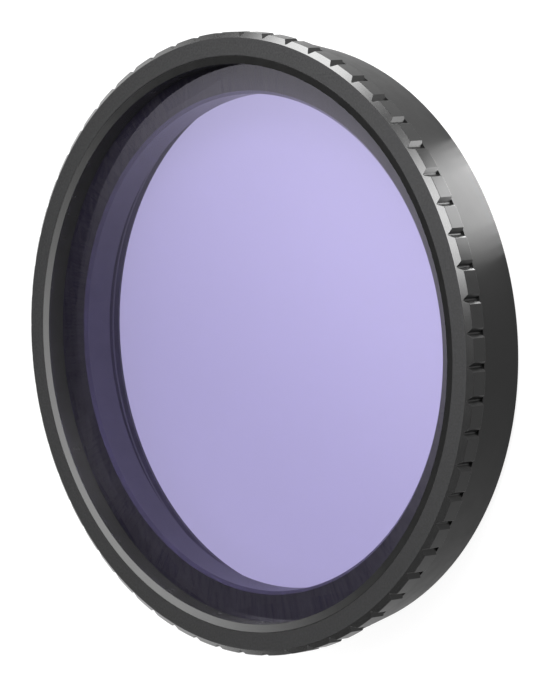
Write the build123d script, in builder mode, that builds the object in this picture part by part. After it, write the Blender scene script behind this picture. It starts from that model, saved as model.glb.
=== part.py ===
from build123d import *
import os

# Light pollution filter: a round glass held in a shallow black ring, lying on its rear face.
# The origin is on the optical axis in the plane of the rear face. +Z is the axis, towards the front.
# All lengths are in millimetres.

# Cell, outside
cell_height = 8.2
grip_diameter = 56.24
grip_height = 1.9
front_bevel_width = 0.52
front_bevel_height = 0.43
rim_step = 0.17
rear_taper = 1.26
rear_bevel = 0.6

# Notches round the grip
notch_count = 60
notch_width = 0.9
notch_floor_width = 0.12
notch_depth = 0.38

# Walls, each measured from one round surface to the next
grip_wall = 2.12
ring_wall = 0.75
glass_margin = 0.3
ledge_width = 3.2
socket_step = 1.1

# Cell, inside
aperture_bevel = 0.3
socket_depth = 2.55
socket_bevel = 0.2

# Retaining ring
ring_height = 1.9
ring_dish = 0.1
ring_bevel = 0.15

# Glass
glass_thickness = 0.7
glass_bevel = 0.1

# Clearances
thread_clearance = 0.02
pocket_clearance = 0.1
clamp_gap = 0.1

# Radii, from the grip inwards
grip_radius = grip_diameter / 2
notch_floor_radius = grip_radius - notch_depth
rim_radius = grip_radius - rim_step
rear_radius = rim_radius - rear_taper
ring_thread_radius = grip_radius - grip_wall
ring_bore_radius = ring_thread_radius - ring_wall
glass_radius = ring_thread_radius - glass_margin
aperture_radius = glass_radius - ledge_width
socket_radius = aperture_radius + socket_step

# Levels above the rear face
ring_seat = cell_height - ring_height
glass_seat = ring_seat - glass_thickness
ring_bore_floor = ring_seat - clamp_gap
grip_floor = cell_height - grip_height


def circles_at(part, height):
    """Round edges of a turned part at one height, from the smallest to the largest."""
    circles = part.edges().filter_by(GeomType.CIRCLE)
    same_height = circles.filter_by_position(Axis.Z, height, height)
    return same_height.sort_by(SortBy.RADIUS)


# Cell: one turned piece, with a raised grip, a rim that tapers to the rear and a stepped bore
with BuildPart() as filter_cell:
    with BuildSketch(Plane.XZ):
        with BuildLine():
            Polyline(
                (socket_radius, 0),
                (rear_radius, 0),
                (rim_radius, grip_floor),
                (grip_radius, grip_floor),
                (grip_radius, cell_height - front_bevel_height),
                (grip_radius - front_bevel_width, cell_height),
                (ring_thread_radius + thread_clearance, cell_height),
                (ring_thread_radius + thread_clearance, ring_bore_floor),
                (glass_radius + pocket_clearance, ring_bore_floor),
                (glass_radius + pocket_clearance, glass_seat),
                (aperture_radius, glass_seat),
                (aperture_radius, socket_depth),
                (socket_radius, socket_depth),
                close=True,
            )
        make_face()
    revolve(axis=Axis.Z)

    chamfer(circles_at(filter_cell, 0)[-1], rear_bevel)
    chamfer(circles_at(filter_cell, 0)[0], socket_bevel)
    chamfer(circles_at(filter_cell, glass_seat)[0], aperture_bevel)

    # A notch is a V with a narrow floor, open at the front and at the foot of the grip.
    # Its cutter is carried one notch depth past the crest, where the same slope has widened it again.
    cutter_radius = grip_radius + notch_depth
    cutter_width = 2 * notch_width - notch_floor_width
    with BuildSketch(Plane.XY.offset(grip_floor)):
        with PolarLocations(0, notch_count):
            Polygon(
                (notch_floor_radius, -notch_floor_width / 2),
                (cutter_radius, -cutter_width / 2),
                (cutter_radius, cutter_width / 2),
                (notch_floor_radius, notch_floor_width / 2),
                align=None,
            )
    extrude(amount=grip_height, mode=Mode.SUBTRACT)

# Glass: a flat disc with ground edges, lying on the ledge of the cell
with BuildPart() as filter_glass:
    with BuildSketch(Plane.XY.offset(glass_seat)):
        Circle(glass_radius)
    extrude(amount=glass_thickness)
    chamfer(filter_glass.edges().filter_by(GeomType.CIRCLE), glass_bevel)

# Retaining ring: screwed in from the front until its rear face presses on the glass
with BuildPart() as retaining_ring:
    with BuildSketch(Plane.XZ):
        with BuildLine():
            Polyline(
                (ring_bore_radius, ring_seat),
                (ring_thread_radius - ring_bevel, ring_seat),
                (ring_thread_radius, ring_seat + ring_bevel),
                (ring_thread_radius, cell_height),
                (ring_bore_radius, cell_height - ring_dish),
                close=True,
            )
        make_face()
    revolve(axis=Axis.Z)

filter_cell.part.label = "filter_cell"
filter_glass.part.label = "filter_glass"
retaining_ring.part.label = "retaining_ring"

os.makedirs("parts", exist_ok=True)
export_step(filter_cell.part, "parts/filter_cell.step")
export_step(filter_glass.part, "parts/filter_glass.step")
export_step(retaining_ring.part, "parts/retaining_ring.step")
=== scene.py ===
import math

import bmesh
import bpy
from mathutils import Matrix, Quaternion, Vector


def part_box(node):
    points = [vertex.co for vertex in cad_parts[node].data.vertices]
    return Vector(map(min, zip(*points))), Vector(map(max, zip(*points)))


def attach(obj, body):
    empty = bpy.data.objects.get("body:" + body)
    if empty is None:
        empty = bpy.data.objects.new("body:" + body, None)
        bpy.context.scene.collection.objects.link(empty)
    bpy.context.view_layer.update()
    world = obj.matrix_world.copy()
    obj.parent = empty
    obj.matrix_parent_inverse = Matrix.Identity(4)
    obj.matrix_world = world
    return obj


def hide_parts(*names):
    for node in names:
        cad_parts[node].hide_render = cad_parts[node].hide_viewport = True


# Light pollution filter, lying on its rear face on a pale floor.
# The frame is the solid model's: metres, +Z along the optical axis, the front face up.
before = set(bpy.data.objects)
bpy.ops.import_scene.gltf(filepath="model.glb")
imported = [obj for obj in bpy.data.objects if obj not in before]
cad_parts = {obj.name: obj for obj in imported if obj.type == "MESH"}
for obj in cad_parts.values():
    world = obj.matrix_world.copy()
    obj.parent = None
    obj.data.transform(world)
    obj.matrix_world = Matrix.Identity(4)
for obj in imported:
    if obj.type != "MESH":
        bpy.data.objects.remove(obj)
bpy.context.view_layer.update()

mm = 0.001
full_turn = 2 * math.pi

# Heights, read from the solids
cell_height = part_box("filter_cell")[1].z
ring_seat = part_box("retaining_ring")[0].z
glass_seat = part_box("filter_glass")[0].z

# Cell, outside
grip_radius = 28.12 * mm
grip_height = 1.9 * mm
front_bevel_width = 0.52 * mm
front_bevel_height = 0.43 * mm
rim_step = 0.17 * mm
rear_taper = 1.26 * mm
rear_bevel = 0.6 * mm

# Notches round the grip
notch_count = 60
notch_width = 0.9 * mm
notch_floor_width = 0.12 * mm
notch_depth = 0.38 * mm

# Walls, each measured from one round surface to the next
grip_wall = 2.12 * mm
ring_wall = 0.75 * mm
glass_margin = 0.3 * mm
ledge_width = 3.2 * mm
socket_step = 1.1 * mm

# Cell, inside
aperture_bevel = 0.3 * mm
socket_depth = 2.55 * mm
socket_bevel = 0.2 * mm

# Thread of the rear socket, with its corners as shares of the pitch and of the depth
thread_pitch = 0.75 * mm
thread_depth = 0.4 * mm
thread_fade = 0.12 * mm
thread_corners = [(0.0, 0.0), (0.25, 0.0), (0.5625, 1.0), (0.6875, 1.0)]

# Retaining ring and glass
ring_dish = 0.1 * mm
ring_bevel = 0.15 * mm
glass_bevel = 0.1 * mm

# Clearances
thread_clearance = 0.02 * mm
pocket_clearance = 0.1 * mm
clamp_gap = 0.1 * mm

# Radii and levels worked out from them
bevel_radius = grip_radius - front_bevel_width
notch_floor_radius = grip_radius - notch_depth
rim_radius = grip_radius - rim_step
rear_radius = rim_radius - rear_taper
ring_thread_radius = grip_radius - grip_wall
ring_bore_radius = ring_thread_radius - ring_wall
glass_radius = ring_thread_radius - glass_margin
aperture_radius = glass_radius - ledge_width
socket_radius = aperture_radius + socket_step
grip_floor = cell_height - grip_height

# Finish of the meshes
edge_break = 0.03 * mm
weld_distance = 0.0005 * mm
sharp_from = math.radians(25)
crest_steps = 5
smooth_steps = 480

# Textures of the finishes, in noise cells a metre
blast_grain = 5500.0
blast_patches = 260.0
lathe_lines = 2600.0
metal_clouds = 700.0
tint_drift = 30.0
glass_smears = 220.0


# Shader maths


class Value:
    """A socket that can be used in sums, so that an expression adds its own Math nodes."""

    def __init__(self, nodes, socket):
        self.nodes = nodes
        self.socket = socket

    def math(self, operation, *values):
        node = self.nodes.add("ShaderNodeMath", {"operation": operation}, dict(enumerate(values)))
        return node.out()

    def __add__(self, other):
        return self.math("ADD", self, other)

    def __radd__(self, other):
        return self.math("ADD", other, self)

    def __mul__(self, other):
        return self.math("MULTIPLY", self, other)

    def __rmul__(self, other):
        return self.math("MULTIPLY", other, self)

    def __pow__(self, other):
        return self.math("POWER", self, other)

    def least(self, other):
        return self.math("MINIMUM", self, other)


class Node:
    """A shader node together with the tree it is in."""

    def __init__(self, nodes, node):
        self.nodes = nodes
        self.node = node

    def out(self, name=0):
        return Value(self.nodes, self.node.outputs[name])


class Nodes:
    """The node tree of a material or of the world."""

    def __init__(self, owner):
        owner.use_nodes = True
        self.tree = owner.node_tree
        self.tree.nodes.clear()

    def add(self, kind, settings=None, sockets=None):
        """Adds a node, sets it up, then gives its sockets their values or links."""
        node = self.tree.nodes.new(kind)
        for name, value in (settings or {}).items():
            setattr(node, name, value)
        for name, value in (sockets or {}).items():
            self.feed(node.inputs[name], value)
        return Node(self, node)

    def feed(self, socket, value):
        if isinstance(value, Node):
            value = value.out()
        if isinstance(value, Value):
            self.tree.links.new(value.socket, socket)
        else:
            socket.default_value = value

    def ramp(self, factor, low, high):
        """0 below low, 1 above high and a smooth rise between them."""
        limits = {"Value": factor, "From Min": low, "From Max": high}
        return self.add("ShaderNodeMapRange", {"interpolation_type": "SMOOTHSTEP"}, limits).out()

    def blend(self, factor, first, second):
        """A colour that goes from first to second as factor goes from 0 to 1."""
        sockets = {0: factor, 6: first, 7: second}
        return self.add("ShaderNodeMix", {"data_type": "RGBA"}, sockets).out(2)

    def noise(self, place, scale, detail):
        sockets = {"Vector": place, "Scale": scale, "Detail": detail}
        return self.add("ShaderNodeTexNoise", None, sockets).out(0)

    def lines(self, along, scale, detail):
        """Noise that changes with one value alone."""
        sockets = {"W": along, "Scale": scale, "Detail": detail}
        return self.add("ShaderNodeTexNoise", {"noise_dimensions": "1D"}, sockets).out(0)

    def place(self):
        return self.add("ShaderNodeTexCoord").out("Object")

    def bump(self, height, depth):
        sockets = {"Height": height, "Distance": depth}
        return self.add("ShaderNodeBump", None, sockets).out()

    def surface(self, shader):
        self.add("ShaderNodeOutputMaterial", None, {"Surface": shader})


def grey(level):
    return (level, level, level, 1.0)


# Materials


def blasted_black():
    """Black anodised metal with the fine even grain of bead blasting."""
    material = bpy.data.materials.new("blasted_black")
    nodes = Nodes(material)
    place = nodes.place()
    grain = nodes.noise(place, blast_grain, 2.0)
    patches = nodes.noise(place, blast_patches, 3.0)
    pit = (0.008, 0.008, 0.0084, 1)
    peak = (0.038, 0.038, 0.0388, 1)
    shader = nodes.add("ShaderNodeBsdfPrincipled", None, {
        "Base Color": nodes.blend(grain, pit, peak),
        "Roughness": 0.52 + 0.1 * patches,
        "Normal": nodes.bump(grain, 0.014 * mm),
        "Specular IOR Level": 0.25,
    })
    nodes.surface(shader)
    return material


def turned_black(name, base, roughness, specular, ior=1.5, line_depth=0.0005 * mm):
    """Black anodised metal as the lathe left it, with fine lines round the axis."""
    material = bpy.data.materials.new(name)
    nodes = Nodes(material)
    place = nodes.place()
    parts = nodes.add("ShaderNodeSeparateXYZ", None, {0: place})
    x, y, z = [parts.out(axis) for axis in "XYZ"]
    across = (x * x + y * y) ** 0.5 + z
    clouds = nodes.noise(place, metal_clouds, 3.0)
    uneven = 0.25
    dark = grey(base * (1 - uneven))
    light = grey(base * (1 + uneven))
    shader = nodes.add("ShaderNodeBsdfPrincipled", None, {
        "Base Color": nodes.blend(clouds, dark, light),
        "Roughness": roughness * (0.85 + 0.3 * clouds),
        "Normal": nodes.bump(nodes.lines(across, lathe_lines, 2.0), line_depth),
        "Specular IOR Level": specular,
        "IOR": ior,
    })
    nodes.surface(shader)
    return material


def tinted_glass():
    """Polished glass with a pale violet tint, which lets the lamps' light through."""
    material = bpy.data.materials.new("tinted_glass")
    nodes = Nodes(material)
    place = nodes.place()
    drift = nodes.noise(place, tint_drift, 2.0)
    smears = nodes.noise(place, glass_smears, 4.0)
    deep_violet = (0.375, 0.345, 0.585, 1)
    pale_violet = (0.395, 0.363, 0.6, 1)
    glass = nodes.add("ShaderNodeBsdfPrincipled", None, {
        "Base Color": nodes.blend(drift, deep_violet, pale_violet),
        "Roughness": 0.002 * nodes.ramp(smears, 0.55, 0.8),
        "Transmission Weight": 1.0,
        "Specular Tint": (0.88, 0.84, 1.0, 1),
        "IOR": 1.52,
    })
    clear = nodes.add("ShaderNodeBsdfTransparent", None, {"Color": (0.86, 0.84, 0.88, 1)})
    shadow = nodes.add("ShaderNodeLightPath").out("Is Shadow Ray")
    nodes.surface(nodes.add("ShaderNodeMixShader", None, {0: shadow, 1: glass, 2: clear}))
    return material


def pale_floor():
    """White where it is seen, also in metal and glass, with a faint shadow of what stands on it."""
    material = bpy.data.materials.new("pale_floor")
    nodes = Nodes(material)
    path = nodes.add("ShaderNodeLightPath")
    seen = path.out("Is Camera Ray") + path.out("Is Glossy Ray") + path.out("Is Transmission Ray")
    glow = nodes.add("ShaderNodeEmission", None, {"Color": grey(1.0), "Strength": 0.92})
    faint = nodes.add("ShaderNodeBsdfDiffuse", None, {"Color": grey(0.2)})
    white = nodes.add("ShaderNodeAddShader", None, {0: glow, 1: faint})
    paper = nodes.add("ShaderNodeBsdfDiffuse", None, {"Color": grey(0.8)})
    nodes.surface(nodes.add("ShaderNodeMixShader", None, {0: seen.least(1.0), 1: paper, 2: white}))
    return material


# Meshes


def ring_point(radius, angle, height):
    return Vector((radius * math.cos(angle), radius * math.sin(angle), height))


def finish_mesh(name, mesh, materials):
    """Turns a bmesh into an object with smooth faces, sharp corners and slightly broken edges."""
    bmesh.ops.remove_doubles(mesh, verts=mesh.verts, dist=weld_distance)
    bmesh.ops.dissolve_degenerate(mesh, edges=mesh.edges, dist=weld_distance)
    bmesh.ops.recalc_face_normals(mesh, faces=mesh.faces)
    data = bpy.data.meshes.new(name)
    mesh.to_mesh(data)
    mesh.free()
    for material in materials:
        data.materials.append(material)
    data.shade_smooth()
    data.set_sharp_from_angle(angle=sharp_from)
    piece = bpy.data.objects.new(name, data)
    bpy.context.scene.collection.objects.link(piece)
    bevel = piece.modifiers.new("broken_edges", "BEVEL")
    bevel.width = edge_break
    bevel.segments = 2
    bevel.limit_method = "WEIGHT"
    bevel.use_clamp_overlap = False
    bevel.harden_normals = True
    return piece


def weigh_corners(mesh, beyond=0.0):
    """Marks the corners that the edge break is to work on, which lie beyond a radius."""
    weight = mesh.edges.layers.float.new("bevel_weight_edge")
    mesh.normal_update()
    for edge in mesh.edges:
        corner = len(edge.link_faces) == 2 and edge.calc_face_angle(0.0) > sharp_from
        if corner and all(vertex.co.xy.length > beyond for vertex in edge.verts):
            edge[weight] = 1.0


def lathe(mesh, rings, closed, slots):
    """Faces between rings of points, each a list with one point for each step round the axis."""
    rows = [[mesh.verts.new(point) for point in ring] for ring in rings]
    pairs = list(zip(rows, rows[1:]))
    if closed:
        pairs.append((rows[-1], rows[0]))
    for slot, (low, high) in zip(slots, pairs):
        for here in range(len(low)):
            there = (here + 1) % len(low)
            face = mesh.faces.new((low[here], low[there], high[there], high[here]))
            face.material_index = slot
    return rows


def turned(mesh, profile, closed, slots):
    """Faces of a profile of (radius, height) points turned round the axis."""
    angles = [full_turn * step / smooth_steps for step in range(smooth_steps)]
    rings = [[ring_point(radius, angle, height) for angle in angles] for radius, height in profile]
    return lathe(mesh, rings, closed, slots)


# Cell


def flank_point(radius):
    """Radius and angle where a notch's flank crosses a circle round the axis."""
    slope = (notch_width - notch_floor_width) / 2 / notch_depth
    half = notch_floor_width / 2
    # The flank is half + slope * rise beside the notch's middle, at notch_floor_radius + rise
    square = 1 + slope * slope
    linear = notch_floor_radius + half * slope
    rest = notch_floor_radius ** 2 + half ** 2 - radius ** 2
    rise = (-linear + math.sqrt(linear * linear - square * rest)) / square
    return radius, math.atan2(half + slope * rise, notch_floor_radius + rise)


def outline_stations():
    """(angle, outer radius) all round the grip, which is notch_count notches with crests between."""
    corner_radius = math.hypot(notch_floor_radius, notch_floor_width / 2)
    side = [flank_point(corner_radius), flank_point(rim_radius), flank_point(grip_radius)]
    crest_start = side[-1][1]
    pitch = full_turn / notch_count
    crest_step = (pitch - 2 * crest_start) / crest_steps
    stations = []
    for notch in range(notch_count):
        middle = notch * pitch
        for radius, angle in reversed(side):
            stations.append((middle - angle, radius))
        for radius, angle in side:
            stations.append((middle + angle, radius))
        for step in range(1, crest_steps):
            stations.append((middle + crest_start + step * crest_step, grip_radius))
    return stations


def thread_point(row, angle):
    """A point of the socket's thread. A row is one of its corners, counted from the rear."""
    turns, corner = divmod(row, len(thread_corners))
    along, depth = thread_corners[corner]
    height = socket_bevel + thread_pitch * (turns - 1 + along + angle / full_turn)
    height = min(max(height, socket_bevel), socket_depth)
    fade = min((height - socket_bevel) / thread_fade, (socket_depth - height) / thread_fade, 1.0)
    return ring_point(socket_radius + thread_depth * depth * fade, angle, height)


def socket_thread(mesh, stations, slot):
    """Faces of the rear socket's thread, with its points at the cell's own stations."""
    one_turn = len(thread_corners)
    turns = math.ceil((socket_depth - socket_bevel) / thread_pitch) + 1
    rows = one_turn * turns
    angles = sorted(angle % full_turn for angle, _ in stations)
    columns = [
        [mesh.verts.new(thread_point(row, angle)) for row in range(rows + one_turn)]
        for angle in angles
    ]
    for here, there in zip(columns, columns[1:] + columns[:1]):
        # The rows climb by one pitch a turn, so the last column meets the first one turn up
        shift = one_turn if there is columns[0] else 0
        for row in range(rows - 1):
            quad = (here[row], there[row + shift], there[row + 1 + shift], here[row + 1])
            face = mesh.faces.new(quad)
            face.material_index = slot


def filter_cell(materials):
    """The black cell: face, bevel, notched grip, rim, rear face, threaded socket, bore and ledge."""
    face_slot, bevel_slot, crest_slot, rim_slot, bore_slot = range(5)
    bevel_slope = front_bevel_height / front_bevel_width
    stations = outline_stations()
    taper = Vector((rear_taper, grip_floor)).normalized() * rear_bevel
    seam_radius = ring_thread_radius + thread_clearance
    pocket_radius = glass_radius + pocket_clearance
    ring_bore_floor = ring_seat - clamp_gap

    def ring(radius, height):
        return [ring_point(radius, angle, height) for angle, _ in stations]

    outside = [
        ring(bevel_radius, cell_height),
        [
            ring_point(outer, angle, cell_height - (outer - bevel_radius) * bevel_slope)
            for angle, outer in stations
        ],
        [ring_point(outer, angle, grip_floor) for angle, outer in stations],
        ring(rim_radius, grip_floor),
        ring(rear_radius + taper.x, taper.y),
        ring(rear_radius - rear_bevel, 0),
        ring(socket_radius + socket_bevel, 0),
        ring(socket_radius, socket_bevel),
    ]
    inside = [
        ring(socket_radius, socket_depth),
        ring(aperture_radius, socket_depth),
        ring(aperture_radius, glass_seat - aperture_bevel),
        ring(aperture_radius + aperture_bevel, glass_seat),
        ring(pocket_radius, glass_seat),
        ring(pocket_radius, ring_bore_floor),
        ring(seam_radius, ring_bore_floor),
        ring(seam_radius, cell_height),
    ]
    mesh = bmesh.new()
    lathe(mesh, outside, False, [bevel_slot] + [crest_slot] * 2 + [rim_slot] * 3 + [bore_slot])
    lathe(mesh, inside, False, [bore_slot] * (len(inside) - 1))
    lathe(mesh, [inside[-1], outside[0]], False, [face_slot])
    socket_thread(mesh, stations, bore_slot)
    weigh_corners(mesh, beyond=aperture_radius + 2 * socket_step)
    return finish_mesh("cell", mesh, materials)


# Retaining ring and glass


def retaining_ring(materials):
    """The slim screwed ring, with a dished front and a smooth wall in front of the glass."""
    front_slot, wall_slot = range(2)
    profile = [
        (ring_bore_radius, ring_seat),
        (ring_thread_radius - ring_bevel, ring_seat),
        (ring_thread_radius, ring_seat + ring_bevel),
        (ring_thread_radius, cell_height),
        (ring_bore_radius, cell_height - ring_dish),
    ]
    mesh = bmesh.new()
    turned(mesh, profile, True, [front_slot] * 4 + [wall_slot])
    weigh_corners(mesh)
    return finish_mesh("ring", mesh, materials)


def filter_glass(material):
    """A flat disc with ground edges, closed by one round face at each side."""
    glass_top = ring_seat
    profile = [
        (glass_radius - glass_bevel, glass_seat),
        (glass_radius, glass_seat + glass_bevel),
        (glass_radius, glass_top - glass_bevel),
        (glass_radius - glass_bevel, glass_top),
    ]
    mesh = bmesh.new()
    rows = turned(mesh, profile, False, [0] * 3)
    mesh.faces.new(rows[0])
    mesh.faces.new(rows[-1])
    return finish_mesh("glass", mesh, [material])


# Studio


def floor():
    half = 4.0
    corners = [(-half, -half, 0), (half, -half, 0), (half, half, 0), (-half, half, 0)]
    data = bpy.data.meshes.new("floor")
    data.from_pydata(corners, [], [(0, 1, 2, 3)])
    data.materials.append(pale_floor())
    sheet = bpy.data.objects.new("floor", data)
    bpy.context.scene.collection.objects.link(sheet)


def direction(azimuth, elevation):
    """Unit vector towards a place in the sky, with azimuth counted from +X towards +Y."""
    flat = math.cos(math.radians(elevation))
    turn = math.radians(azimuth)
    return Vector((flat * math.cos(turn), flat * math.sin(turn), math.sin(math.radians(elevation))))


def camera():
    """Looks down on the face from its -X side, with a long lens, rolled so that +Z points left."""
    aim = Vector((-4.61 * mm, 0.02 * mm, cell_height))
    distance = 407.7 * mm
    away = direction(-177.9, 45.16)
    roll = math.radians(-95.75)
    focal_length = 239.5
    data = bpy.data.cameras.new("camera")
    data.lens = focal_length
    data.clip_start = 10 * mm
    data.clip_end = 100.0
    eye = bpy.data.objects.new("camera", data)
    eye.location = aim + away * distance
    eye.rotation_mode = "QUATERNION"
    eye.rotation_quaternion = (-away).to_track_quat("-Z", "Y") @ Quaternion((0, 0, 1), roll)
    bpy.context.scene.collection.objects.link(eye)
    bpy.context.scene.camera = eye


def sky():
    """A dim studio with soft boxes, each a bright patch that fades out at its edge."""
    world = bpy.data.worlds.new("studio")
    bpy.context.scene.world = world
    nodes = Nodes(world)
    toward = nodes.add("ShaderNodeTexCoord").out("Generated")
    between = 0.12
    # Azimuth, elevation, angles from the middle where the fading starts and ends, brightness
    boxes = [
        (-15.0, 56.0, 2.0, 17.0, 5.5),
        (-72.0, 23.0, 5.0, 23.0, 5.2),
        (-136.0, 49.0, 6.0, 22.0, 4.5),
        (60.0, 75.0, 5.0, 30.0, 2.0),
    ]
    patches = []
    for azimuth, elevation, start, end, brightness in boxes:
        sockets = {0: toward, 1: direction(azimuth, elevation)}
        near = nodes.add("ShaderNodeVectorMath", {"operation": "DOT_PRODUCT"}, sockets).out("Value")
        dark_below = math.cos(math.radians(end))
        full_above = math.cos(math.radians(start))
        patches.append(nodes.ramp(near, dark_below, full_above) * brightness)
    strength = sum(patches, between)
    light = nodes.add("ShaderNodeBackground", None, {"Color": grey(1.0), "Strength": strength})
    nodes.add("ShaderNodeOutputWorld", None, {"Surface": light})


def lamp(name, shape, middle, turn, width, length, radiance):
    """A flat lamp that shines along its own -Z. Radiance 1 is as bright as white paper."""
    area = width * length
    if shape == "ELLIPSE":
        area *= math.pi / 4
    data = bpy.data.lights.new(name, "AREA")
    data.shape = shape
    data.size = width
    data.size_y = length
    data.energy = radiance * math.pi * area
    light = bpy.data.objects.new(name, data)
    light.location = middle
    light.rotation_euler = turn
    bpy.context.scene.collection.objects.link(light)
    return light


def near_box():
    """A soft box above the -X, -Y side of the cell, which only the matt surfaces show."""
    place = direction(225, 33) * 80 * mm
    turn = (-place).to_track_quat("-Z", "Y").to_euler()
    side = 40 * mm
    box = lamp("near_box", "RECTANGLE", place, turn, side, side, 18.0)
    box.visible_glossy = False


def low_cards():
    """Lit cards lying on each other beside the cell, which the rim mirrors as one soft highlight."""
    azimuth = 207
    place = direction(azimuth, 0) * 31 * mm
    face_up = (math.pi, 0, math.radians(azimuth))
    width = 16 * mm
    lengths = (7 * mm, 9.5 * mm, 12 * mm, 14.5 * mm)
    top = 0.35 * mm
    spacing = 0.08 * mm
    for layer, length in enumerate(lengths):
        middle = place + Vector((0, 0, top - layer * spacing))
        card = lamp("low_card", "ELLIPSE", middle, face_up, width, length, 3.31)
        card.visible_camera = False


# The whole

camera()
sky()
near_box()
low_cards()
floor()
bpy.context.scene.view_settings.view_transform = "Standard"

# The index of refraction sets how strongly each surface mirrors the white floor
bevel_black = turned_black(
    "bevel_black", base=0.01, roughness=0.24, specular=1.0, ior=1.77, line_depth=0.001 * mm
)
crest_black = turned_black("crest_black", base=0.007, roughness=0.3, specular=0.5, ior=1.28)
rim_black = turned_black("rim_black", base=0.007, roughness=0.4, specular=0.5, ior=1.15)
# The bore, ledge and rear socket get a base about ten times lighter than the other blacks. This is
# painted light, standing in for the light that reaches the ledge only through the glass.
bore_black_painted_light = turned_black("bore_black_painted_light", base=0.075, roughness=0.4, specular=0.5)
# The ring's inner wall gets a base about four times lighter than the ring's front. This is painted
# light that lifts the shade on the wall in front of the glass.
wall_black_painted_light = turned_black("wall_black_painted_light", base=0.022, roughness=0.26, specular=0.8)
ring_black = turned_black("ring_black", base=0.005, roughness=0.2, specular=0.6)

cell = filter_cell([blasted_black(), bevel_black, crest_black, rim_black, bore_black_painted_light])
pieces = {
    "filter_cell": (cell, "cell"),
    "retaining_ring": (retaining_ring([ring_black, wall_black_painted_light]), "ring"),
    "filter_glass": (filter_glass(tinted_glass()), "glass"),
}
for node, (piece, slot) in pieces.items():
    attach(piece, "root")
    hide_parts(node)
